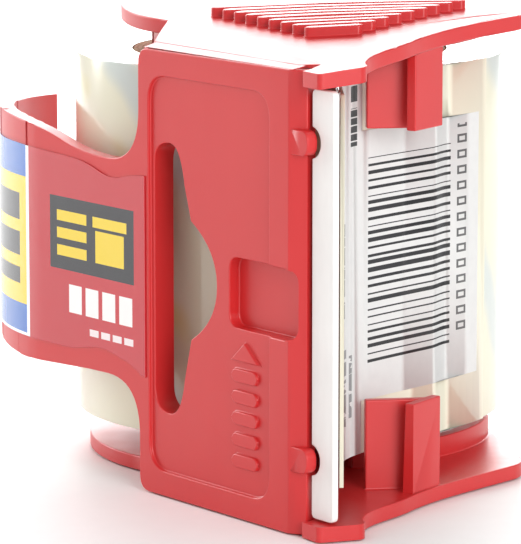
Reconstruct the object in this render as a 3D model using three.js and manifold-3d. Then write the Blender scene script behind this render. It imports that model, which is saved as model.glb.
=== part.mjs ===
// Hand dispenser for packing tape, standing on its lower cheek with the roll upright.
// Millimetres, +Z up. While it is drawn, the front panel's face lies in the plane y = 0,
// its left edge is at x = 0 and the lower cheek's outer face is at z = 0. At the end the
// whole group is moved so that the middle of its footprint is the origin.

import * as THREE from "three";
import { mergeVertices } from "three/addons/utils/BufferGeometryUtils.js";
import Module from "manifold-3d";

const wasm = await Module();
wasm.setup();

// ---- driving dimensions ----

const HEIGHT = 57;               // over the outer faces of the two cheeks
const MID = HEIGHT / 2;
const WALL = 2;                  // front panel and tongue
const CHEEK = 1.9;               // cheek thickness
const GAP = 0.3;                 // air left between pieces that touch
const NOSE_X = 37.4;             // the nose corner of the cheeks
const PANEL_END = 31.2;          // where the panel's face turns into its bevel
const TAPE_WIDTH = 48;
const ROLL = { x: -11.6, y: 33.1, r: 28.6 };
const CORE_OUTER = 20.9;
const CORE_INNER = 19.05;        // a 38.1 mm core
const HUB_R = 18.4;
const ROLL_LIFT = 1.4;           // the roll sits this far above the middle
const CARD = 0.6;                // labels and cards
const ARC_STEPS = 40;
const BOW = 3.4;                 // how far the upper cheek is sprung open at its back
const BOW_DEPTH = 52;            // how far back the bow levels off
const LEAN = 0.02;               // and how much more it opens for each millimetre from the nose

// ---- helpers ----

function solid(geometry) {
  const g = geometry.clone();
  g.deleteAttribute("normal");
  g.deleteAttribute("uv");
  const merged = mergeVertices(g.index ? g.toNonIndexed() : g, 1e-4);
  return new wasm.Manifold(new wasm.Mesh({
    numProp: 3,
    vertProperties: new Float32Array(merged.attributes.position.array),
    triVerts: new Uint32Array(merged.index.array),
  }));
}

function geometryOf(body) {
  const mesh = body.getMesh();
  const g = new THREE.BufferGeometry();
  g.setAttribute("position", new THREE.BufferAttribute(new Float32Array(mesh.vertProperties), 3));
  g.setIndex(new THREE.BufferAttribute(new Uint32Array(mesh.triVerts), 1));
  const flat = g.toNonIndexed();
  flat.computeVertexNormals();
  return flat;
}

// An outline in plan, raised from z0 to z1.
function raised(shape, z0, z1, curveSegments = 12) {
  const g = new THREE.ExtrudeGeometry(shape, {
    depth: z1 - z0, bevelEnabled: false, curveSegments,
  });
  g.translate(0, 0, z0);
  return g;
}

// An outline drawn on the panel's face, (x, z), pushed back from y0 to y1.
function pushed(shape, y0, y1, curveSegments = 12) {
  const g = new THREE.ExtrudeGeometry(shape, {
    depth: y1 - y0, bevelEnabled: false, curveSegments,
  });
  g.rotateX(Math.PI / 2);
  g.translate(0, y1, 0);
  return g;
}

function outline(points) {
  const shape = new THREE.Shape();
  shape.moveTo(...points[0]);
  for (const point of points.slice(1)) shape.lineTo(...point);
  shape.closePath();
  return shape;
}

function roundedBox(x0, z0, x1, z1, r) {
  const s = new THREE.Shape();
  s.moveTo(x0 + r, z0);
  s.lineTo(x1 - r, z0);
  s.quadraticCurveTo(x1, z0, x1, z0 + r);
  s.lineTo(x1, z1 - r);
  s.quadraticCurveTo(x1, z1, x1 - r, z1);
  s.lineTo(x0 + r, z1);
  s.quadraticCurveTo(x0, z1, x0, z1 - r);
  s.lineTo(x0, z0 + r);
  s.quadraticCurveTo(x0, z0, x0 + r, z0);
  return s;
}

function tube(inner, outer, z0, z1, steps = 64) {
  const g = new THREE.LatheGeometry([
    new THREE.Vector2(inner, z0), new THREE.Vector2(outer, z0),
    new THREE.Vector2(outer, z1), new THREE.Vector2(inner, z1),
    new THREE.Vector2(inner, z0),
  ], steps);
  g.rotateX(Math.PI / 2);
  g.translate(ROLL.x, ROLL.y, 0);
  return g;
}

// A strip that follows a path in plan, between two distances to the path's left.
function ribbon(points, start, end, z0, z1) {
  const path = points.map((p) => new THREE.Vector2(...p));
  const side = (distance) => path.map((p, i) => {
    const before = path[Math.max(i - 1, 0)];
    const after = path[Math.min(i + 1, path.length - 1)];
    const along = after.clone().sub(before).normalize();
    return new THREE.Vector2(p.x - along.y * distance, p.y + along.x * distance);
  });
  return raised(new THREE.Shape([...side(start), ...side(end).reverse()]), z0, z1);
}

function arc(cx, cy, r, from, to, steps) {
  const points = [];
  for (let i = 0; i <= steps; i += 1) {
    const a = THREE.MathUtils.degToRad(from + ((to - from) * i) / steps);
    points.push([cx + r * Math.cos(a), cy + r * Math.sin(a)]);
  }
  return points;
}

// A wall between two points in plan, its thickness shared evenly to both sides.
function wall(a, b, thickness, z0, z1) {
  const along = new THREE.Vector2(b[0] - a[0], b[1] - a[1]).normalize();
  const sx = (-along.y * thickness) / 2;
  const sy = (along.x * thickness) / 2;
  return solid(raised(outline([
    [a[0] + sx, a[1] + sy], [a[0] - sx, a[1] - sy],
    [b[0] - sx, b[1] - sy], [b[0] + sx, b[1] + sy],
  ]), z0, z1));
}

const group = new THREE.Group();

function add(name, shape, color, roughness = 0.4, metalness = 0) {
  const geometry = shape instanceof wasm.Manifold ? geometryOf(shape) : shape;
  const material = new THREE.MeshStandardMaterial({ color, roughness, metalness });
  const mesh = new THREE.Mesh(geometry, material);
  mesh.name = name;
  group.add(mesh);
  return mesh;
}

// How far the upper cheek stands above level, its arms being sprung open by the roll.
function rise(x, y) {
  const bow = BOW * (1 - (1 - y / BOW_DEPTH) ** 2);
  return bow + LEAN * (NOSE_X - x) * (1 - Math.exp(-y / 4));
}

// Turns a piece of the lower cheek into its twin on the upper cheek. What reaches the cheek
// itself follows its bow, and what hangs down from it stays upright.
const BOW_FROM = 50;

function mirrored(body) {
  return bowed(body.mirror([0, 0, 1]).translate([0, 0, HEIGHT]));
}

function bowed(body) {
  return body.warp((v) => {
    if (v[2] > BOW_FROM) v[2] += rise(v[0], v[1]);
  });
}

const RED = 0xc8373a;
const PAPER = 0xf1efec;

// ---- front shell: panel, bevel and the tongue that carries the front label ----

const TONGUE = { x: -22, r: 33, from: 270, to: 200 };
const TONGUE_LOW = 14;
const TONGUE_HIGH = 42.2;
const TONGUE_END_HIGH = 45;
const NECK_R = 7;
const BEVEL = { x: 33.4, y: 1.3 };
const POCKET = { x0: 18.7, z0: 23.9, x1: 32.3, z1: 32.7, deep: 2.1, r: 1.8 };
const SNAP_TABS = [9.4, 48.3];   // heights of the tabs that hold the guard strip

function frontShell() {
  const sweep = arc(TONGUE.x, TONGUE.r, TONGUE.r, TONGUE.to, TONGUE.from, ARC_STEPS);
  const inside = arc(TONGUE.x, TONGUE.r, TONGUE.r - WALL, TONGUE.from, TONGUE.to, ARC_STEPS);
  const plan = outline([
    ...sweep, [PANEL_END, 0], [BEVEL.x, BEVEL.y], [BEVEL.x - 0.9, BEVEL.y + WALL],
    [PANEL_END - 1, WALL], ...inside,
  ]);
  let body = solid(raised(plan, 0, HEIGHT));

  const above = new THREE.Shape();
  above.moveTo(-70, HEIGHT + 1);
  above.lineTo(-70, TONGUE_END_HIGH - 1.5);
  above.lineTo(-52, TONGUE_END_HIGH - 0.5);
  above.bezierCurveTo(-40, TONGUE_END_HIGH + 1, -26, TONGUE_END_HIGH + 0.8, -18, TONGUE_HIGH + 1.4);
  above.quadraticCurveTo(-13, TONGUE_HIGH, -NECK_R, TONGUE_HIGH);
  above.quadraticCurveTo(0, TONGUE_HIGH, 0, TONGUE_HIGH + NECK_R);
  above.lineTo(0, HEIGHT - 2);
  above.quadraticCurveTo(0, HEIGHT, 2, HEIGHT);
  above.lineTo(2, HEIGHT + 1);
  above.closePath();
  const below = new THREE.Shape();
  below.moveTo(-70, -1);
  below.lineTo(2, -1);
  below.lineTo(2, 0);
  below.quadraticCurveTo(0, 0, 0, 2);
  below.lineTo(0, TONGUE_LOW - NECK_R);
  below.quadraticCurveTo(0, TONGUE_LOW, -NECK_R, TONGUE_LOW);
  below.bezierCurveTo(-16, TONGUE_LOW, -22, TONGUE_LOW - 1, -30, TONGUE_LOW - 0.6);
  below.quadraticCurveTo(-46, TONGUE_LOW, -52, TONGUE_LOW + 2);
  below.lineTo(-70, TONGUE_LOW + 3);
  below.closePath();
  body = body.subtract(solid(pushed(above, -1, 40)));
  body = body.subtract(solid(pushed(below, -1, 40)));

  const field = solid(pushed(roundedBox(2.2, 3.2, 27.4, HEIGHT - 3.2, 3.5), -1, 0.5));
  const slotRim = solid(pushed(slotOutline(1.1), 0.5, 3.6));
  const { x0, z0, x1, z1, deep, r } = POCKET;
  const backing = roundedBox(x0 - 1, z0 - 1, x1, z1 + 1, r + 0.4);
  const pocketBack = solid(pushed(backing, deep - 0.9, deep + 1.2));
  body = body.subtract(field).add(slotRim).add(pocketBack);
  for (const z of SNAP_TABS) {
    const tab = roundedBox(PANEL_END - 0.4, z - 1.5, BEVEL.x + 1.4, z + 1.5, 1.3);
    body = body.add(solid(pushed(tab, 0.2, 1.2)));
  }
  body = body.subtract(solid(pushed(slotOutline(0), -1, 5)));
  body = body.subtract(solid(pushed(roundedBox(x0, z0, x1, z1, r), -1, deep)));
  return body;
}

// The hang slot: a long slot with a round bump in the middle of its nose side.
function slotOutline(grow) {
  const left = 2.8 - grow;
  const right = 10.6 + grow;
  const low = 10.8 - grow;
  const high = 45.4 + grow;
  const bump = 16 + grow;
  const s = new THREE.Shape();
  s.moveTo(left, low + 3);
  s.quadraticCurveTo(left, low, left + 3.4, low);
  s.quadraticCurveTo(right - 2.2, low + 0.2, right - 1.4, low + 5);
  s.lineTo(right, MID - 7.5 - grow);
  s.quadraticCurveTo(bump, MID - 4.5 - grow, bump, MID);
  s.quadraticCurveTo(bump, MID + 4.5 + grow, right, MID + 7.5 + grow);
  s.lineTo(right - 1.4, high - 5);
  s.quadraticCurveTo(right - 2.2, high - 0.2, left + 3.4, high);
  s.quadraticCurveTo(left, high, left, high - 3);
  s.closePath();
  return s;
}

add("front_shell", frontShell(), RED);

// ---- cheeks, the upper one with its thumb ribs ----

const LOWER_CHEEK_R = 27;
const UPPER_CHEEK_R = 22.5;
const RIBS = 9;
const RIB_PITCH = 2.3;
const RIB_TALL = 1.2;
const RIB_TURN = 50;             // the ribs lie square to the line from nose to hub
const RIB_APEX = { x: 19.4, y: 16.2 };
const RIB_HALF = 3;              // half the first rib's length
const RIB_GROWTH = 1.6;          // and what each rib after it adds to that
const RIB_WIDE = 1.3;
const MESH_STEP = 2.5;           // how finely the cheek is cut up before it is bowed

// The lower cheek's round end is wider than the upper one's.
function cheekOutline(roundR) {
  const s = new THREE.Shape();
  s.moveTo(0.4, WALL + GAP);
  s.lineTo(PANEL_END - 0.8, WALL + GAP);
  s.lineTo(BEVEL.x - 0.6, BEVEL.y + WALL + GAP + 0.1);
  s.lineTo(BEVEL.x + 0.4, BEVEL.y);
  s.lineTo(BEVEL.x + 0.2, 0.3);
  s.lineTo(NOSE_X - 0.6, 0);
  s.quadraticCurveTo(NOSE_X, 0, NOSE_X + 0.2, 0.7);
  s.lineTo(39, 4.9);
  s.quadraticCurveTo(39.2, 6, 38, 6.6);
  s.bezierCurveTo(33.5, 9, 33.5, 15, 31.2, 19.4);
  s.bezierCurveTo(28, 26, 27, 33, 25, 42);
  s.quadraticCurveTo(24.4, 44.4, 21.6, 46);
  s.lineTo(4.5, 54.8);
  for (const point of arc(ROLL.x, ROLL.y, roundR, 66, 278, 36)) s.lineTo(...point);
  s.closePath();
  return s;
}

function cheek(roundR) {
  return solid(raised(cheekOutline(roundR), 0, CHEEK));
}

function thumbRib(index) {
  const half = RIB_HALF + index * RIB_GROWTH;
  const side = RIB_WIDE / 2;
  const across = new THREE.Shape();
  across.moveTo(-half, -side);
  across.lineTo(half, -side);
  across.quadraticCurveTo(half + RIB_WIDE, 0, half, side);
  across.lineTo(-half, side);
  across.quadraticCurveTo(-half - RIB_WIDE, 0, -half, -side);
  const g = raised(across, HEIGHT - 0.4, HEIGHT + RIB_TALL, 6);
  g.rotateZ(THREE.MathUtils.degToRad(RIB_TURN));
  const back = index * RIB_PITCH;
  const turn = THREE.MathUtils.degToRad(RIB_TURN + 90);
  g.translate(RIB_APEX.x + back * Math.cos(turn), RIB_APEX.y + back * Math.sin(turn), 0);
  return solid(g);
}

function upperCheek() {
  let body = cheek(UPPER_CHEEK_R).translate([0, 0, HEIGHT - CHEEK]);
  for (let i = 0; i < RIBS; i += 1) body = body.add(thumbRib(i));
  return bowed(body.refineToLength(MESH_STEP));
}

add("lower_cheek", cheek(LOWER_CHEEK_R), RED);
add("upper_cheek", upperCheek(), RED);

// ---- hub halves: cups that reach into the core from each cheek and meet in the middle ----

const HUB_WALL = 2;
const HUB_REACH = MID - 0.25;

function hubHalf() {
  return solid(tube(HUB_R - HUB_WALL, HUB_R, CHEEK + GAP, HUB_REACH, 56));
}

add("lower_hub", hubHalf(), RED);
add("upper_hub", mirrored(hubHalf()), RED);

// ---- tape guides: two walls that stand on each cheek and hold the web back ----

const GUIDE_WALL = 1.3;
const LOWER_GUIDE_TALL = 11.2;
const UPPER_GUIDE_TALL = 7;

function guide(tall) {
  const low = CHEEK + GAP;
  const across = wall([24.0, 17.8], [27.9, 24.6], GUIDE_WALL, low, low + tall);
  const along = wall([29.6, 20.4], [27.2, 26.8], GUIDE_WALL, low, low + tall);
  return across.add(along);
}

add("lower_tape_guide", guide(LOWER_GUIDE_TALL), RED);
add("upper_tape_guide", mirrored(guide(UPPER_GUIDE_TALL)), RED);

// ---- roll rests: low arc ribs close to the rim of the roll ----

const REST = { inner: 25.4, outer: 27.2, from: -20, to: 44 };
const REST_TALL = 2.4;

function rest() {
  const low = CHEEK + GAP;
  const inner = arc(ROLL.x, ROLL.y, REST.inner, REST.from, REST.to, 20);
  const outer = arc(ROLL.x, ROLL.y, REST.outer, REST.to, REST.from, 20);
  return solid(raised(outline([...outer, ...inner]), low, low + REST_TALL));
}

add("lower_roll_rest", rest(), RED);
add("upper_roll_rest", mirrored(rest()), RED);

// ---- the nose: a toothed steel blade with a white guard strip in front of it ----

const NOSE_LOW = CHEEK + GAP;
const NOSE_HIGH = HEIGHT - CHEEK - GAP;
const GUARD_Y = 1.75;
const BLADE_Y = 3.1;
const BLADE_X = 33.9;
const TEETH = 23;
const TOOTH_TIP = NOSE_X - 1;     // behind the guard strip's edge
const TOOTH_DEEP = 1.2;
const BLADE_INSET = 1.5;         // bare steel at each end

function guardStrip() {
  const shape = roundedBox(BEVEL.x + 0.3, NOSE_LOW, NOSE_X + 0.5, NOSE_HIGH, 0.8);
  return solid(pushed(shape, GUARD_Y, GUARD_Y + 0.9));
}

function blade() {
  const low = NOSE_LOW + BLADE_INSET;
  const high = NOSE_HIGH - BLADE_INSET;
  const pitch = (high - low) / TEETH;
  const root = TOOTH_TIP - TOOTH_DEEP;
  const points = [[BLADE_X, low], [root, low]];
  for (let i = 0; i < TEETH; i += 1) {
    const z = low + i * pitch;
    points.push([TOOTH_TIP, z + pitch / 2], [root, z + pitch]);
  }
  points.push([BLADE_X, high]);
  return solid(pushed(outline(points), BLADE_Y, BLADE_Y + 0.5));
}

add("blade_guard", guardStrip(), PAPER, 0.7);
add("cutter_blade", blade(), 0xb9bcc0, 0.3, 0.9);

// ---- the roll ----

const ROLL_LOW = MID + ROLL_LIFT - TAPE_WIDTH / 2;
const ROLL_HIGH = ROLL_LOW + TAPE_WIDTH;

add("tape_core", tube(CORE_INNER, CORE_OUTER, ROLL_LOW, ROLL_HIGH, 64), 0xb08d64, 0.9);
add("tape_winding", tube(CORE_OUTER + 0.15, ROLL.r, ROLL_LOW, ROLL_HIGH, 96), 0xe6dfbe, 0.15);

// ---- the leader: the free end of the tape, from the roll past the guides to the nose ----

const LEADER = [
  [35.6, 4.6], [30.6, 8.2], [26.2, 11.3], [23.6, 13.9], [21.7, 17.2], [20.4, 21.6],
  ...arc(ROLL.x, ROLL.y, ROLL.r + 0.35, 8, 26, 3),
];

function pathAlong(points, steps, from = 0, to = 1) {
  const curve = new THREE.CatmullRomCurve3(points.map(([x, y]) => new THREE.Vector3(x, y, 0)));
  const out = [];
  for (let i = 0; i <= steps; i += 1) {
    const p = curve.getPointAt(from + ((to - from) * i) / steps);
    out.push([p.x, p.y]);
  }
  return out;
}

const LEADER_T = 0.5;
const leaderPath = pathAlong(LEADER, 30).reverse();
add("tape_leader", solid(ribbon(leaderPath, 0, LEADER_T, ROLL_LOW, ROLL_HIGH)), 0xe9e4cb, 0.2);

// ---- printed papers: the front label on the tongue and the barcode label on the leader ----

function frontLabel() {
  const bend = arc(TONGUE.x, TONGUE.r, TONGUE.r, 203, 270, 30);
  return solid(ribbon([...bend, [-1.2, 0]], -GAP, -GAP - CARD / 2, TONGUE_LOW + 2, TONGUE_HIGH - 2));
}

// The barcode label faces the nose: full width by the guides, narrower on the way to the roll.
const LABEL_STEP = 0.427;
const LABEL_LOW = 12.7;
const LABEL_HIGH = 47.1;

function barcodeLabel() {
  const near = LEADER_T + GAP;
  const far = near + CARD / 2;
  const wide = pathAlong(LEADER, 12, 0.163, LABEL_STEP).reverse();
  const narrow = pathAlong(LEADER, 24, LABEL_STEP - 0.01, 0.955).reverse();
  return solid(ribbon(wide, near, far, ROLL_LOW, ROLL_HIGH))
    .add(solid(ribbon(narrow, near, far, LABEL_LOW, LABEL_HIGH)));
}

add("front_label", frontLabel(), 0xc4363e, 0.35);
add("barcode_label", barcodeLabel(), PAPER, 0.5);

group.updateMatrixWorld(true);
const box = new THREE.Box3().setFromObject(group);
group.position.set(-(box.min.x + box.max.x) / 2, -(box.min.y + box.max.y) / 2, -box.min.z);

export default group;
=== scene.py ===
"""Looks for the packing tape dispenser: one seamless red moulding, the roll, its papers and blade."""

import math
import random

import bmesh
import bpy
from mathutils import Matrix, Vector
from mathutils.bvhtree import BVHTree


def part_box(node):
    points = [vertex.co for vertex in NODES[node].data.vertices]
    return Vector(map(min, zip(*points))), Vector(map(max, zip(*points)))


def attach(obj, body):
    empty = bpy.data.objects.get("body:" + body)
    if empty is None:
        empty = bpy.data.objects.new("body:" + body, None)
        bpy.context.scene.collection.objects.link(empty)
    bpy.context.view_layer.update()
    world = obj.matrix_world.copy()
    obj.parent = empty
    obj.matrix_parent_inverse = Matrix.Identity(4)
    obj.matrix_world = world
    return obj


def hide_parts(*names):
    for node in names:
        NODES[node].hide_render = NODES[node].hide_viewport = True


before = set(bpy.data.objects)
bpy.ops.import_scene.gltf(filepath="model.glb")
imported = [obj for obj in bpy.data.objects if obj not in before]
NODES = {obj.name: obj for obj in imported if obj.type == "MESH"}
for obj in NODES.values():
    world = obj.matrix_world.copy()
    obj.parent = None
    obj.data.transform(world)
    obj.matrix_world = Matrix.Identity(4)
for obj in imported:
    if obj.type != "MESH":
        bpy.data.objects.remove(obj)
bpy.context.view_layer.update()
random.seed(7)

MM = 0.001
BODY = "dispenser"
ROLL_BODY = "roll"

# The CAD is drawn from the panel's left edge, so places are given here in the same way:
# x from that edge along the panel, y back from its face, z up from the lower cheek.
ROLL_LOW, ROLL_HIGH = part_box("tape_winding")
ROLL_AXIS = (ROLL_LOW + ROLL_HIGH) / 2
ROLL_R = (ROLL_HIGH.x - ROLL_LOW.x) / 2 / MM
ROLL_GIRTH = 2 * math.pi * ROLL_R
DRAWN_ROLL = (-11.6, 33.1)       # the roll's axis in those drawn places
SHIFT = Vector((ROLL_AXIS.x - DRAWN_ROLL[0] * MM, ROLL_AXIS.y - DRAWN_ROLL[1] * MM, 0))
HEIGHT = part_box("front_shell")[1].z / MM
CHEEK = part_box("lower_cheek")[1].z / MM    # how thick a cheek is


def at(x, y, z):
    """A drawn place in millimetres, as a place in the frame in metres."""
    return Vector((x, y, z)) * MM + SHIFT


# ---------------------------------------------------------------- camera

CAMERA_AT = at(393.06, -277.83, 108.82)
CAMERA_LOOK = Vector((-0.78659, 0.59498, -0.16517))
CAMERA_LENS = 253.4

camera_data = bpy.data.cameras.new("camera")
camera_data.lens = CAMERA_LENS
camera_data.clip_start = 0.01
camera = bpy.data.objects.new("camera", camera_data)
camera.location = CAMERA_AT
camera.rotation_mode = "QUATERNION"
camera.rotation_quaternion = CAMERA_LOOK.to_track_quat("-Z", "Y")
bpy.context.scene.collection.objects.link(camera)
bpy.context.scene.camera = camera


# ---------------------------------------------------------------- shader helpers

class Shader:
    """A material being built from nodes, measured in millimetres of the frame."""

    def __init__(self, name):
        self.material = bpy.data.materials.new(name)
        self.material.use_nodes = True
        self.tree = self.material.node_tree
        self.bsdf = self.tree.nodes["Principled BSDF"]
        self.places = self.add("ShaderNodeTexCoord").outputs["Object"]

    def add(self, kind, **settings):
        node = self.tree.nodes.new(kind)
        for key, value in settings.items():
            setattr(node, key, value)
        return node

    def plug(self, socket, value):
        if isinstance(value, bpy.types.NodeSocket):
            self.tree.links.new(value, socket)
        else:
            socket.default_value = value

    def math(self, operation, a, b=0.0):
        node = self.add("ShaderNodeMath", operation=operation)
        self.plug(node.inputs[0], a)
        self.plug(node.inputs[1], b)
        return node.outputs[0]

    def drawn(self, centre=None):
        """x, y and z in drawn millimetres, or measured from a centre in the frame."""
        origin = SHIFT if centre is None else centre
        moved = self.add("ShaderNodeVectorMath", operation="SUBTRACT")
        self.plug(moved.inputs[0], self.places)
        moved.inputs[1].default_value = origin
        scaled = self.add("ShaderNodeVectorMath", operation="SCALE")
        self.plug(scaled.inputs[0], moved.outputs[0])
        scaled.inputs["Scale"].default_value = 1 / MM
        split = self.add("ShaderNodeSeparateXYZ")
        self.plug(split.inputs[0], scaled.outputs[0])
        return split.outputs

    def sheet(self):
        """Millimetres along and up a sticker, from its own map."""
        split = self.add("ShaderNodeSeparateXYZ")
        self.plug(split.inputs[0], self.add("ShaderNodeTexCoord").outputs["UV"])
        return split.outputs[0], split.outputs[1]

    def between(self, value, low, high):
        above = self.math("GREATER_THAN", value, low)
        return self.math("MULTIPLY", above, self.math("LESS_THAN", value, high))

    def patch(self, u, v, u0, u1, v0, v1):
        """1 inside a rectangle of the print and 0 outside it."""
        return self.math("MULTIPLY", self.between(u, u0, u1), self.between(v, v0, v1))

    def noise(self, scale, detail=4.0, stretch=(1, 1, 1)):
        mapping = self.add("ShaderNodeMapping")
        self.plug(mapping.inputs["Vector"], self.places)
        mapping.inputs["Scale"].default_value = stretch
        node = self.add("ShaderNodeTexNoise")
        node.inputs["Scale"].default_value = scale
        node.inputs["Detail"].default_value = detail
        self.plug(node.inputs["Vector"], mapping.outputs[0])
        return node.outputs["Fac"]

    def spread(self, value, low, high):
        node = self.add("ShaderNodeMapRange")
        self.plug(node.inputs["Value"], value)
        node.inputs["To Min"].default_value = low
        node.inputs["To Max"].default_value = high
        return node.outputs[0]

    def soft_step(self, value, start, end, top):
        node = self.add("ShaderNodeMapRange", interpolation_type="SMOOTHSTEP")
        self.plug(node.inputs["Value"], value)
        node.inputs["From Min"].default_value = start
        node.inputs["From Max"].default_value = end
        node.inputs["To Max"].default_value = top
        return node.outputs[0]

    def mix(self, factor, a, b):
        node = self.add("ShaderNodeMix", data_type="RGBA")
        self.plug(node.inputs["Factor"], factor)
        self.plug(node.inputs["A"], a)
        self.plug(node.inputs["B"], b)
        return node.outputs["Result"]

    def bump(self, height, strength, distance):
        node = self.add("ShaderNodeBump")
        node.inputs["Strength"].default_value = strength
        node.inputs["Distance"].default_value = distance
        self.plug(node.inputs["Height"], height)
        self.plug(self.bsdf.inputs["Normal"], node.outputs[0])

    def set(self, **values):
        for key, value in values.items():
            self.plug(self.bsdf.inputs[key.replace("_", " ")], value)


def rgb(red, green, blue):
    """An sRGB colour, 0 to 255, as linear RGBA."""
    def linear(channel):
        c = channel / 255
        return c / 12.92 if c <= 0.04045 else ((c + 0.055) / 1.055) ** 2.4
    return (linear(red), linear(green), linear(blue), 1.0)


# ---------------------------------------------------------------- materials

def red_plastic():
    s = Shader("red_plastic")
    cloud = s.noise(45, 3)
    flow = s.noise(160, 2, (1, 1, 0.12))
    tone = s.mix(cloud, rgb(196, 34, 38), rgb(206, 42, 44))
    tone = s.mix(s.spread(flow, 0, 0.3), tone, rgb(216, 62, 60))
    grain = s.noise(2600, 3)
    s.set(Base_Color=tone, Roughness=s.spread(s.noise(220, 4), 0.27, 0.42))
    s.bsdf.inputs["Subsurface Weight"].default_value = 0.12
    s.bsdf.inputs["Subsurface Radius"].default_value = (0.003, 0.0008, 0.0006)
    s.bsdf.inputs["Specular IOR Level"].default_value = 0.55
    s.bump(grain, 0.12, 0.00004)
    return s.material


def white_card():
    s = Shader("white_card")
    fibre = s.noise(900, 5, (1, 1, 0.25))
    s.set(Base_Color=s.mix(fibre, rgb(246, 244, 241), rgb(236, 234, 231)))
    s.set(Roughness=s.spread(fibre, 0.45, 0.6))
    s.bump(fibre, 0.2, 0.00003)
    return s.material


def blade_steel():
    s = Shader("blade_steel")
    ground = s.noise(1500, 4, (1, 1, 0.05))
    s.set(Base_Color=s.mix(ground, rgb(170, 172, 176), rgb(205, 207, 210)))
    s.set(Roughness=s.spread(ground, 0.22, 0.42))
    s.bsdf.inputs["Metallic"].default_value = 1.0
    s.bump(ground, 0.25, 0.00002)
    return s.material


def core_board():
    s = Shader("core_board")
    fibre = s.noise(700, 6, (1, 1, 0.4))
    speck = s.noise(2400, 2)
    tone = s.mix(fibre, rgb(168, 132, 92), rgb(192, 158, 116))
    s.set(Base_Color=s.mix(s.spread(speck, 0, 0.25), tone, rgb(120, 90, 60)))
    s.bsdf.inputs["Roughness"].default_value = 0.85
    s.bump(fibre, 0.4, 0.00006)
    return s.material


TAPE_BANDS = 6                   # bands of core print seen round the roll
BAND_SLANT = 0.9                 # how far they lean, per millimetre of height
BAND_WOBBLE = 14.0
TURN_PITCH = 0.32                # the rings drawn on the winding's ends
END_HEIGHT = 23.9                # from the roll's middle to just inside its ends


def clear_tape():
    """Film over film: pale straw, with the blurred colours of the printed core showing through."""
    s = Shader("clear_tape")
    x, y, z = s.drawn(ROLL_AXIS)
    angle = s.math("MULTIPLY", s.math("ARCTAN2", y, x), ROLL_GIRTH / (2 * math.pi))
    reach = s.math("SQRT", s.math("ADD", s.math("MULTIPLY", x, x), s.math("MULTIPLY", y, y)))
    wobble = s.math("MULTIPLY", s.math("SUBTRACT", s.noise(60, 2), 0.5), BAND_WOBBLE)
    slant = s.math("ADD", s.math("ADD", angle, wobble), s.math("MULTIPLY", z, BAND_SLANT))
    band = s.math("SINE", s.math("MULTIPLY", slant, 2 * math.pi * TAPE_BANDS / ROLL_GIRTH))
    blue = s.soft_step(band, 0.3, 1.0, 0.75)
    gold = s.soft_step(band, -0.2, -1.0, 1.0)
    gold = s.math("MULTIPLY", gold, s.soft_step(s.noise(75, 1), 0.5, 0.68, 0.65))
    straw = s.mix(s.noise(30, 2), rgb(234, 231, 208), rgb(226, 222, 197))
    tone = s.mix(blue, straw, rgb(196, 207, 208))
    tone = s.mix(gold, tone, rgb(232, 219, 140))
    turns = s.math("SINE", s.math("MULTIPLY", reach, 2 * math.pi / TURN_PITCH))
    on_end = s.math("GREATER_THAN", s.math("ABSOLUTE", z), END_HEIGHT)
    rings = s.math("MULTIPLY", on_end, s.spread(turns, -0.15, 0.4))
    s.set(Base_Color=s.mix(rings, tone, rgb(188, 178, 148)), Roughness=s.spread(s.noise(120, 3), 0.1, 0.24))
    s.bsdf.inputs["Subsurface Weight"].default_value = 0.2
    s.bsdf.inputs["Subsurface Radius"].default_value = (0.003, 0.003, 0.0025)
    s.bsdf.inputs["Coat Weight"].default_value = 0.4
    s.bsdf.inputs["Coat Roughness"].default_value = 0.08
    wind = s.noise(55, 3, (1, 1, 0.2))
    s.bump(wind, 0.12, 0.0005)
    return s.material


def leader_film():
    """One layer of film over its own adhesive, a little wavy."""
    s = Shader("leader_film")
    wave = s.noise(90, 3, (1, 1, 0.3))
    s.set(Base_Color=s.mix(wave, rgb(228, 222, 198), rgb(238, 234, 214)), Roughness=s.spread(wave, 0.1, 0.22))
    s.bsdf.inputs["Coat Weight"].default_value = 0.4
    s.bump(wave, 0.2, 0.0004)
    return s.material


RED_END = 26.6                   # where the front label's red gives way to its yellow end
END_START = 27.4
PAST = 70.0                      # a limit beyond the label's end
OVER = 60.0                      # and one above its upper edge


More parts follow.
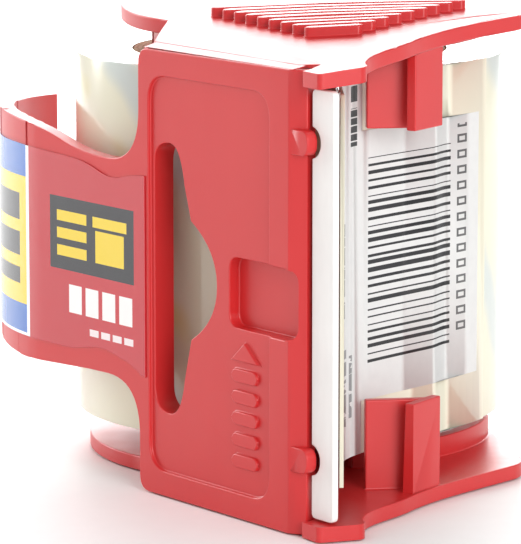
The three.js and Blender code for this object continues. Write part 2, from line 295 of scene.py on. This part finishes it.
def front_print():
    """Red label with a dark panel, a plain parcel picture, white bars and a yellow end."""
    s = Shader("front_print")
    u, z = s.sheet()
    sheen = s.noise(60, 3, (1, 1, 0.3))
    tone = s.mix(sheen, rgb(190, 26, 40), rgb(200, 36, 48))
    yellow = rgb(238, 206, 40)
    ink = rgb(30, 28, 34)
    tone = s.mix(s.patch(u, z, 2.4, 21.4, 26.4, 36.0), tone, ink)
    parcel = s.patch(u, z, 4.6, 11.0, 28.2, 32.4)
    parcel = s.math("MAXIMUM", parcel, s.patch(u, z, 4.0, 11.6, 32.8, 34.2))
    tone = s.mix(parcel, tone, yellow)
    for low in (28.2, 30.5, 32.8):
        tone = s.mix(s.patch(u, z, 13.0, 19.8, low, low + 1.4), tone, yellow)
    for start in (2.8, 6.6, 10.4, 14.2):
        tone = s.mix(s.patch(u, z, start, start + 2.9, 20.9, 24.6), tone, rgb(246, 242, 240))
    for start in (2.6, 5.2, 7.8, 10.4):
        tone = s.mix(s.patch(u, z, start, start + 2.0, 18.4, 19.3), tone, rgb(240, 226, 226))
    tone = s.mix(s.math("GREATER_THAN", u, RED_END), tone, rgb(240, 244, 248))
    tone = s.mix(s.patch(u, z, END_START, PAST, 20.4, OVER), tone, yellow)
    blue = s.patch(u, z, END_START, PAST, 37.6, OVER)
    blue = s.math("MAXIMUM", blue, s.patch(u, z, END_START, PAST, 16.6, 20.4))
    tone = s.mix(blue, tone, rgb(40, 104, 190))
    for low, high in ((23.0, 25.2), (26.8, 30.0), (31.6, 35.2)):
        tone = s.mix(s.patch(u, z, 29.4, 44.0, low, high), tone, ink)
    s.set(Base_Color=tone, Roughness=s.spread(sheen, 0.16, 0.3))
    s.bsdf.inputs["Coat Weight"].default_value = 0.5
    s.bsdf.inputs["Coat Roughness"].default_value = 0.12
    s.bump(s.noise(140, 4, (1, 1, 0.35)), 0.18, 0.0003)
    return s.material


BAR_CELL = 1.93                  # each cell of the barcode holds two bars of chance width
TICK_CELL = 2.05                 # the pitch of the small squares beside it


def barcode_print():
    """White paper with bars of chance widths that code nothing, squares and short grey marks."""
    s = Shader("barcode_print")
    _, y, z = s.drawn()
    paper = s.noise(700, 4)
    tone = s.mix(paper, rgb(222, 222, 220), rgb(213, 213, 212))
    ink = rgb(24, 24, 28)
    cell = s.math("DIVIDE", z, BAR_CELL)
    chance = s.add("ShaderNodeTexWhiteNoise", noise_dimensions="1D")
    s.plug(chance.inputs["W"], s.math("FLOOR", cell))
    widths = s.add("ShaderNodeSeparateXYZ")
    s.plug(widths.inputs[0], chance.outputs["Color"])
    across = s.math("MULTIPLY", s.math("FRACT", cell), BAR_CELL)
    first_end = s.math("ADD", s.math("MULTIPLY", widths.outputs[0], 0.5), 0.14)
    first = s.math("LESS_THAN", across, first_end)
    start = s.math("ADD", s.math("MULTIPLY", widths.outputs[1], 0.25), 0.85)
    end = s.math("ADD", start, s.math("ADD", s.math("MULTIPLY", widths.outputs[2], 0.4), 0.16))
    second = s.between(across, start, end)
    bars = s.math("MAXIMUM", first, second)
    tone = s.mix(s.math("MULTIPLY", bars, s.patch(y, z, 20.3, 37.6, 17.0, 43.6)), tone, ink)
    tick = s.math("FRACT", s.math("DIVIDE", z, TICK_CELL))
    ticks = s.math("MULTIPLY", s.between(tick, 0.2, 0.75), s.patch(y, z, 38.9, 40.9, 18.0, 46.0))
    hollow = s.math("MULTIPLY", s.between(tick, 0.34, 0.61), s.patch(y, z, 39.3, 40.5, 18.0, 46.0))
    tone = s.mix(s.math("MULTIPLY", s.math("SUBTRACT", ticks, hollow), 0.85), tone, ink)
    block = s.patch(y, z, 16.3, 17.9, 45.4, 50.2)
    block = s.math("MULTIPLY", block, s.between(s.math("FRACT", z), 0.12, 0.95))
    tone = s.mix(s.math("MAXIMUM", block, s.patch(y, z, 16.3, 17.9, 51.0, 53.0)), tone, ink)
    words = s.math("GREATER_THAN", s.noise(1700, 1, (0.2, 0.2, 1)), 0.42)
    columns = s.patch(y, z, 12.2, 13.2, 22.0, 46.0)
    columns = s.math("MAXIMUM", columns, s.patch(y, z, 12.2, 13.2, 11.0, 20.0))
    columns = s.math("MAXIMUM", columns, s.patch(y, z, 14.0, 14.7, 24.0, 36.0))
    columns = s.math("MAXIMUM", columns, s.patch(y, z, 14.4, 15.2, 9.5, 20.0))
    columns = s.math("MAXIMUM", columns, s.patch(y, z, 16.0, 16.8, 11.0, 19.0))
    tone = s.mix(s.math("MULTIPLY", s.math("MULTIPLY", words, columns), 0.7), tone, rgb(70, 72, 76))
    s.set(Base_Color=tone, Roughness=s.spread(paper, 0.35, 0.5))
    s.bump(s.noise(90, 3), 0.12, 0.0004)
    return s.material


RED = red_plastic()
CARD = white_card()
STEEL = blade_steel()
BOARD = core_board()
TAPE = clear_tape()
FILM = leader_film()
FRONT_PRINT = front_print()
BARCODE_PRINT = barcode_print()


# ---------------------------------------------------------------- mesh helpers

def piece(name, mesh, material, body, slot, *nodes):
    """Puts a finished mesh in the scene, in place of the CAD nodes that it stands for."""
    obj = bpy.data.objects.new(name, mesh)
    bpy.context.scene.collection.objects.link(obj)
    mesh.materials.clear()
    mesh.materials.append(material)
    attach(obj, body)
    if nodes:
        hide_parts(*nodes)
    return obj


def smooth(mesh, angle=32):
    """Shades a mesh smooth, but for edges that bend by more than the angle."""
    for polygon in mesh.polygons:
        polygon.use_smooth = True
    mesh.set_sharp_from_angle(angle=math.radians(angle))


def prism(bm, points, low, high, flat="z"):
    """Adds a closed solid: an outline in plan raised in z, or an outline in x and z pushed in y."""
    def place(u, v, w):
        return at(u, v, w) if flat == "z" else at(u, w, v)
    first = [bm.verts.new(place(u, v, low)) for u, v in points]
    last = [bm.verts.new(place(u, v, high)) for u, v in points]
    bm.faces.new(first)
    bm.faces.new(list(reversed(last)))
    for i, vert in enumerate(first):
        j = (i + 1) % len(first)
        bm.faces.new((first[j], vert, last[i], last[j]))


def rounded(x0, z0, x1, z1, r, steps=8):
    """A rectangle with round corners, as points."""
    points = []
    corners = ((x1 - r, z1 - r), (x0 + r, z1 - r), (x0 + r, z0 + r), (x1 - r, z0 + r))
    for quarter, (cx, cz) in enumerate(corners):
        for i in range(steps + 1):
            a = math.radians(90 * quarter + 90 * i / steps)
            points.append((cx + r * math.cos(a), cz + r * math.sin(a)))
    return points


def applied(obj):
    """Turns the object's modifiers into mesh and removes them."""
    depsgraph = bpy.context.evaluated_depsgraph_get()
    mesh = bpy.data.meshes.new_from_object(obj.evaluated_get(depsgraph))
    obj.modifiers.clear()
    old = obj.data
    obj.data = mesh
    bpy.data.meshes.remove(old)


def add_copy(bm, node):
    """Adds a CAD node's mesh."""
    bm.from_mesh(NODES[node].data)


# ---------------------------------------------------------------- the red moulding

EDGE = 0.18                      # the round on the moulding's edges
SHORTEST = 0.2                   # vertices beside a shorter edge than this stay sharp
MERGE = 2e-6                     # metres between vertices that become one
FLAT = 1.0                       # degrees between faces that become one
JOIN = 0.6                       # how far the pieces of the moulding reach into each other

PANEL_LEFT = 0.9
PANEL_BACK = 1.0                 # a plane inside the panel's wall
SEAM_BACK = 4.2                  # how far behind the panel the blocks at its seams reach
SEAM_INSET = 0.02                # and how far inside a cheek's two faces they stay

TAB_HEIGHTS = (9.4, 48.3)        # the snap tabs that hold the guard strip
TAB_LEFT = 30.9
TAB_RIGHT = 34.85
TAB_HALF = 1.55
BITE_LEFT = 31.6                 # the bites that the guard strip has round the tabs
BITE_RIGHT = 35.3
BITE_HALF = 1.9

RELIEF_BARS = 5
RELIEF_PITCH = 2.7
RELIEF_LOW = 6.4                 # the foot of the first bar
RELIEF_PROUD = 0.1               # the depth of the bars' faces and of their backs
RELIEF_DEEP = 1.2

BOW_RISE = 3.4                   # how far the upper cheek has bowed up at its full depth
BOW_DEPTH = 52
BOW_TILT = 0.02                  # what it rises besides, for each millimetre from the nose
BOW_START = 4                    # how soon behind the panel that tilt sets in
NOSE_X = 37.4

WEDGE_STEPS = (0.35, 1.2, 2.4, 4.0)
WEDGE_RIGHT = 31.6
WEDGE_SUNK = 0.03                # how far the wedges' tops stay under the cheek's


def bow(x, y):
    """How far the upper cheek stands above level, as in the CAD."""
    arch = BOW_RISE * (1 - (1 - y / BOW_DEPTH) ** 2)
    return arch + BOW_TILT * (NOSE_X - x) * (1 - math.exp(-y / BOW_START))


def joined(base, tools, operation="UNION"):
    """One solid from several, exactly."""
    for tool in tools:
        boolean = base.modifiers.new("join", "BOOLEAN")
        boolean.operation = operation
        boolean.solver = "EXACT"
        boolean.object = tool
        applied(base)
    for tool in tools:
        mesh = tool.data
        bpy.data.objects.remove(tool)
        bpy.data.meshes.remove(mesh)


def loose(name, build):
    """A solid made by a function that fills a bmesh, ready to be joined."""
    bm = bmesh.new()
    build(bm)
    bmesh.ops.remove_doubles(bm, verts=bm.verts, dist=1e-6)
    bmesh.ops.recalc_face_normals(bm, faces=bm.faces)
    mesh = bpy.data.meshes.new(name)
    bm.to_mesh(mesh)
    bm.free()
    obj = bpy.data.objects.new(name, mesh)
    bpy.context.scene.collection.objects.link(obj)
    return obj


def stretched(node, dz):
    """A copy of a node whose outermost end reaches further, into its cheek."""
    def build(bm):
        add_copy(bm, node)
        heights = [v.co.z for v in bm.verts]
        middle = (min(heights) + max(heights)) / 2
        for vert in bm.verts:
            if (vert.co.z > middle) == (dz > 0):
                vert.co.z += dz * MM
    return loose(node, build)


def wedge(near, far):
    """A block that carries the panel's top up into the bowed cheek, without a step."""
    def build(bm):
        ring = [(PANEL_LEFT, near), (WEDGE_RIGHT, near), (WEDGE_RIGHT, far), (PANEL_LEFT, far)]
        prism(bm, ring, HEIGHT - CHEEK, HEIGHT)
        for vert in bm.verts:
            place = (vert.co - SHIFT) / MM
            if place.z > HEIGHT - 0.1:
                vert.co.z += (bow(place.x, place.y) - WEDGE_SUNK) * MM
    return loose("wedge", build)


def relief_piece(index):
    """A plain raised bar on the panel's field, or the arrowhead above the last bar."""
    z = RELIEF_LOW + index * RELIEF_PITCH
    ring = [(19.4, z), (25.0, z), (22.2, z + 2.4)]
    if index < RELIEF_BARS:
        ring = rounded(19.6, z, 24.8, z + 1.7, 0.8, 4)
    return loose("relief", lambda bm: prism(bm, ring, RELIEF_PROUD, RELIEF_DEEP, "y"))


def red_shell():
    """Shell, cheeks, guides and rests as one moulding with rounded edges."""
    base = loose("red_shell", lambda bm: add_copy(bm, "front_shell"))
    tools = [loose(node, lambda bm, n=node: add_copy(bm, n)) for node in ("lower_cheek", "upper_cheek")]
    for part in ("tape_guide", "roll_rest"):
        tools.append(stretched(f"lower_{part}", -JOIN))
        tools.append(stretched(f"upper_{part}", JOIN))
    seam = [(PANEL_LEFT, PANEL_BACK), (31.0, PANEL_BACK), (32.9, 2.2)]
    seam += [(32.6, SEAM_BACK), (PANEL_LEFT, SEAM_BACK)]
    for bottom in (0, HEIGHT - CHEEK):
        low, high = bottom + SEAM_INSET, bottom + CHEEK - SEAM_INSET
        tools.append(loose("seam", lambda bm, low=low, high=high: prism(bm, seam, low, high)))
    tools += [wedge(near, far + 0.01) for near, far in zip(WEDGE_STEPS, WEDGE_STEPS[1:])]
    for z in TAB_HEIGHTS:
        tab = rounded(TAB_LEFT, z - TAB_HALF, TAB_RIGHT, z + TAB_HALF, 1.2, 5)
        tools.append(loose("tab", lambda bm, ring=tab: prism(bm, ring, 0.15, 1.7, "y")))
    tools += [relief_piece(i) for i in range(RELIEF_BARS + 1)]
    joined(base, tools)
    obj = piece(
        "red_shell", base.data, RED, BODY, "red", "front_shell", "lower_cheek", "upper_cheek",
        "lower_tape_guide", "upper_tape_guide", "lower_roll_rest", "upper_roll_rest",
    )
    bpy.data.objects.remove(base)
    round_edges(obj, EDGE, 3, 34, SHORTEST)
    # Rounding can push a vertex just under the face that it stands on.
    for vert in obj.data.vertices:
        vert.co.z = max(vert.co.z, 0)


def round_edges(obj, width, segments, angle, shortest=0.0):
    """Rounds an object's edges. Those next to an edge under the shortest length stay sharp."""
    material = obj.data.materials[0]
    bm = bmesh.new()
    bm.from_mesh(obj.data)
    bmesh.ops.remove_doubles(bm, verts=bm.verts, dist=MERGE)
    bmesh.ops.dissolve_limit(bm, angle_limit=math.radians(FLAT), verts=bm.verts, edges=bm.edges)
    weight = bm.edges.layers.float.new("bevel_weight_edge")
    for edge in bm.edges:
        near = min(other.calc_length() for vert in edge.verts for other in vert.link_edges)
        bends = len(edge.link_faces) == 2 and edge.calc_face_angle() > math.radians(angle)
        edge[weight] = float(bends and near >= shortest * MM)
    bm.to_mesh(obj.data)
    bm.free()
    bevel = obj.modifiers.new("edges", "BEVEL")
    bevel.width = width * MM
    bevel.segments = segments
    bevel.limit_method = "WEIGHT"
    bevel.use_clamp_overlap = shortest == 0
    applied(obj)
    smooth(obj.data, 40)
    weighted = obj.modifiers.new("normals", "WEIGHTED_NORMAL")
    weighted.keep_sharp = True
    applied(obj)
    obj.data.materials.clear()
    obj.data.materials.append(material)


red_shell()


# ---------------------------------------------------------------- the roll

def lathe(name, profile, steps, centre):
    """Turns a closed profile of (radius, z) in millimetres round an upright axis."""
    bm = bmesh.new()
    rings = []
    for r, z in profile:
        ring = []
        for i in range(steps):
            a = 2 * math.pi * i / steps
            x = centre.x + r * MM * math.cos(a)
            y = centre.y + r * MM * math.sin(a)
            ring.append(bm.verts.new((x, y, z * MM)))
        rings.append(ring)
    for k, ring in enumerate(rings):
        after = rings[(k + 1) % len(rings)]
        for i in range(steps):
            j = (i + 1) % steps
            bm.faces.new((ring[i], ring[j], after[j], after[i]))
    bmesh.ops.recalc_face_normals(bm, faces=bm.faces)
    mesh = bpy.data.meshes.new(name)
    bm.to_mesh(mesh)
    bm.free()
    smooth(mesh)
    return mesh


LOW_Z = ROLL_LOW.z / MM
HIGH_Z = ROLL_HIGH.z / MM
CORE_LOW, CORE_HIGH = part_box("tape_core")
CORE_R = (CORE_HIGH.x - CORE_LOW.x) / 2 / MM
CORE_BORE = 19.05                # its inner radius
UNEVEN = 0.09                    # how far a turn of film may sit below the winding's end


def winding():
    """The winding's ends are a little uneven, as turns of film are."""
    inner = CORE_R + 0.15
    turns = 26
    low_end, high_end = [], []
    for i in range(turns + 1):
        r = inner + (ROLL_R - 0.25 - inner) * i / turns
        low_end.append((r, LOW_Z + random.uniform(0.0, UNEVEN)))
        high_end.append((r, HIGH_Z - random.uniform(0.0, UNEVEN)))
    side = [(ROLL_R - 0.06, LOW_Z + 0.1), (ROLL_R, LOW_Z + 0.3)]
    side += [(ROLL_R, HIGH_Z - 0.3), (ROLL_R - 0.06, HIGH_Z - 0.1)]
    profile = low_end + side + list(reversed(high_end))
    mesh = lathe("winding", profile, 160, ROLL_AXIS)
    piece("winding", mesh, TAPE, ROLL_BODY, "clear_tape", "tape_winding")


def core():
    """Paperboard tube of three plies, its ends a little soft."""
    low, high = LOW_Z, HIGH_Z
    profile = [(CORE_BORE, low + 0.2), (CORE_BORE + 0.15, low)]
    plies = 3
    for i in range(1, plies):
        r = CORE_BORE + (CORE_R - CORE_BORE) * i / plies
        profile += [(r - 0.06, low), (r, low + 0.07), (r + 0.06, low)]
    profile += [(CORE_R - 0.15, low), (CORE_R, low + 0.2)]
    profile += [(r, low + high - z) for r, z in reversed(profile)]
    mesh = lathe("core", profile, 128, ROLL_AXIS)
    piece("core", mesh, BOARD, ROLL_BODY, "core_board", "tape_core")


winding()
core()


# ---------------------------------------------------------------- guard, blade, hub, film and labels

HUB_SLOTS = 12
HUB_SLOT = 2.6
SLOT_CUTTER = Vector((0.06, HUB_SLOT * MM, 0.07))    # reaches past the hub, along and up

CAD_FILM_GAP = 0.35              # from the roll to the leader's last stretch in the CAD
FILM_GAP = 0.03                  # and as it is laid here
FILM_SQUEEZE = 0.2               # the film's thickness here, as a share of the CAD's
SETTLE_SWEEP = 8                 # degrees over which the leader comes down on the roll

CAD_LABEL_GAP = 0.3              # from the leader to the barcode label in the CAD
LABEL_GAP = 0.02                 # and as it is laid here
LABEL_SQUEEZE = 3                # how many times thicker the CAD's label is

TONGUE_X = 22                    # where the tongue starts to curve away
TONGUE_R = 33
LABEL_END = 1.6
LABEL_SWEEP = 66                 # degrees that the front label follows the curve
LABEL_FACES = (0.02, 0.17)       # its inner and outer face, measured from the tongue


def toothed_blade():
    """The CAD's blade with its flat faces merged and its edges rounded."""
    base = loose("toothed_blade", lambda bm: add_copy(bm, "cutter_blade"))
    obj = piece("toothed_blade", base.data, STEEL, BODY, "blade_steel", "cutter_blade")
    bpy.data.objects.remove(base)
    round_edges(obj, 0.06, 1, 40)


def guard_strip():
    """The white strip, with a half-round bite round each of the two snap tabs."""
    base = loose("guard_strip", lambda bm: add_copy(bm, "blade_guard"))
    bites = []
    for z in TAB_HEIGHTS:
        ring = rounded(BITE_LEFT, z - BITE_HALF, BITE_RIGHT, z + BITE_HALF, 1.8)
        bites.append(loose("bite", lambda bm, r=ring: prism(bm, r, 1.0, 3.5, "y")))
    joined(base, bites, "DIFFERENCE")
    obj = piece("guard_strip", base.data, CARD, BODY, "guard_card", "blade_guard")
    bpy.data.objects.remove(base)
    round_edges(obj, 0.14, 2, 40)


def hub_cup(name, node, dz):
    """A hub half as a ring of sprung fingers that stand on their cheek."""
    base = stretched(node, dz)
    low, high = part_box(node)
    middle = (ROLL_AXIS.x, ROLL_AXIS.y, (low.z + high.z) / 2)
    slots = []
    # Each cutter goes right across the hub, so it makes two slots.
    for i in range(HUB_SLOTS // 2):
        turn = Matrix.Rotation(math.pi * 2 * i / HUB_SLOTS, 3, "Z")

        def build(bm, turn=turn):
            bmesh.ops.create_cube(bm, size=1)
            bmesh.ops.scale(bm, verts=bm.verts, vec=SLOT_CUTTER)
            bmesh.ops.rotate(bm, verts=bm.verts, matrix=turn)
            bmesh.ops.translate(bm, verts=bm.verts, vec=middle)
        slots.append(loose("slot", build))
    joined(base, slots, "DIFFERENCE")
    obj = piece(name, base.data, RED, BODY, "red", node)
    bpy.data.objects.remove(base)
    round_edges(obj, 0.2, 2, 50)


def settle(place):
    """Lays the leader's last stretch almost on the roll, where the CAD keeps it further off."""
    flat = Vector((place.x - ROLL_AXIS.x, place.y - ROLL_AXIS.y, 0))
    reach = flat.length
    part = min(max(math.degrees(math.atan2(flat.y, flat.x)) / SETTLE_SWEEP, 0), 1)
    down = ROLL_R * MM + FILM_GAP * MM + (reach - (ROLL_R + CAD_FILM_GAP) * MM) * FILM_SQUEEZE
    reach_now = reach + (down - reach) * part * part * (3 - 2 * part)
    flat = flat * (reach_now / reach)
    return Vector((ROLL_AXIS.x + flat.x, ROLL_AXIS.y + flat.y, place.z))


def leader():
    bm = bmesh.new()
    add_copy(bm, "tape_leader")
    bmesh.ops.remove_doubles(bm, verts=bm.verts, dist=1e-6)
    for vert in bm.verts:
        vert.co = settle(vert.co)
    mesh = bpy.data.meshes.new("leader")
    bm.to_mesh(mesh)
    bm.free()
    smooth(mesh, 40)
    piece("leader", mesh, FILM, BODY, "leader_tape", "tape_leader")


def barcode_sticker():
    """The CAD's label, brought down on to the leader as paper 0.1 mm thick."""
    bm = bmesh.new()
    add_copy(bm, "tape_leader")
    tree = BVHTree.FromBMesh(bm)
    bm.free()
    bm = bmesh.new()
    add_copy(bm, "barcode_label")
    bmesh.ops.remove_doubles(bm, verts=bm.verts, dist=1e-6)
    for vert in bm.verts:
        near, _, _, distance = tree.find_nearest(vert.co)
        height = LABEL_GAP * MM + (distance - CAD_LABEL_GAP * MM) / LABEL_SQUEEZE
        vert.co = settle(near + (vert.co - near).normalized() * height)
    mesh = bpy.data.meshes.new("barcode_sticker")
    bm.to_mesh(mesh)
    bm.free()
    smooth(mesh, 40)
    piece("barcode_sticker", mesh, BARCODE_PRINT, BODY, "label_paper", "barcode_label")


def label_top(u):
    """The front label's upper edge dips at the neck and flares beside the panel."""
    return 41.9 - 0.035 * (30 - min(u, 30)) - 1.3 * math.exp(-((u - 7.5) / 4.5) ** 2)


def label_low(u):
    """Its lower edge rises at the neck and drops beside the panel."""
    return 16.2 + 1.0 * math.exp(-((u - 10) / 4.5) ** 2) - 1.4 * math.exp(-(u / 2.6) ** 2)


def front_sticker():
    """The front label round the tongue, with a map in millimetres for its print."""
    steps = 90
    flat = LABEL_END + TONGUE_X
    length = flat + TONGUE_R * math.radians(LABEL_SWEEP)
    bm = bmesh.new()
    layer = bm.loops.layers.uv.new("millimetres")
    sheets = []
    for height in LABEL_FACES:
        rows = []
        for i in range(steps + 1):
            u = length * i / steps
            if u < flat:
                x, y = LABEL_END - u, -height
            else:
                a = math.radians(270) - (u - flat) / TONGUE_R
                x = -TONGUE_X + (TONGUE_R + height) * math.cos(a)
                y = TONGUE_R + (TONGUE_R + height) * math.sin(a)
            rows.append([(bm.verts.new(at(x, y, z)), u, z) for z in (label_low(u), label_top(u))])
        sheets.append(rows)
    quads = []
    inner, outer = sheets
    for i in range(steps):
        quads.append((outer[i][0], outer[i][1], outer[i + 1][1], outer[i + 1][0]))
        quads.append((inner[i][0], inner[i + 1][0], inner[i + 1][1], inner[i][1]))
        quads.append((outer[i][0], outer[i + 1][0], inner[i + 1][0], inner[i][0]))
        quads.append((outer[i][1], inner[i][1], inner[i + 1][1], outer[i + 1][1]))
    for i in (0, steps):
        quads.append((outer[i][0], inner[i][0], inner[i][1], outer[i][1]))
    for quad in quads:
        face = bm.faces.new([corner[0] for corner in quad])
        for loop, corner in zip(face.loops, quad):
            loop[layer].uv = (corner[1], corner[2])
    bmesh.ops.recalc_face_normals(bm, faces=bm.faces)
    mesh = bpy.data.meshes.new("front_sticker")
    bm.to_mesh(mesh)
    bm.free()
    smooth(mesh, 40)
    piece("front_sticker", mesh, FRONT_PRINT, BODY, "printed_film", "front_label")


guard_strip()
toothed_blade()
hub_cup("lower_hub_cup", "lower_hub", -JOIN)
hub_cup("upper_hub_cup", "upper_hub", JOIN)
leader()
front_sticker()
barcode_sticker()


# ---------------------------------------------------------------- floor, light

FLOOR_HALF = 3.0
FLOOR_DROP = 0.0002              # keeps the floor from sharing a plane with the cheek
LAMP_AIM = Vector((0, 0, 0.028))
WORLD_LIGHT = 0.66


def floor():
    s = Shader("floor_paper")
    grain = s.noise(300, 3)
    s.set(Base_Color=s.mix(grain, rgb(250, 250, 250), rgb(246, 246, 246)))
    s.bsdf.inputs["Roughness"].default_value = 0.6
    bm = bmesh.new()
    bmesh.ops.create_grid(bm, x_segments=4, y_segments=4, size=FLOOR_HALF)
    bmesh.ops.translate(bm, verts=bm.verts, vec=(0, 0, -FLOOR_DROP))
    mesh = bpy.data.meshes.new("floor")
    bm.to_mesh(mesh)
    bm.free()
    mesh.materials.append(s.material)
    obj = bpy.data.objects.new("floor", mesh)
    bpy.context.scene.collection.objects.link(obj)


def lamp(name, place, size, power):
    """A round soft lamp, aimed at the middle of the dispenser."""
    data = bpy.data.lights.new(name, "AREA")
    data.shape = "DISK"
    data.size = size
    data.energy = power
    obj = bpy.data.objects.new(name, data)
    obj.location = place
    obj.rotation_mode = "QUATERNION"
    obj.rotation_quaternion = (LAMP_AIM - Vector(place)).to_track_quat("-Z", "Y")
    bpy.context.scene.collection.objects.link(obj)


floor()
lamp("back_lamp", (-0.8, 0.62, 0.42), 1.0, 12)
lamp("right_lamp", (0.9, -0.2, 0.3), 0.5, 5)
lamp("left_lamp", (-0.8, -0.25, 0.3), 0.5, 4)
bpy.context.scene.view_settings.view_transform = "Standard"

world = bpy.data.worlds.new("studio")
world.use_nodes = True
background = world.node_tree.nodes["Background"]
background.inputs["Color"].default_value = (1, 1, 1, 1)
background.inputs["Strength"].default_value = WORLD_LIGHT
bpy.context.scene.world = world
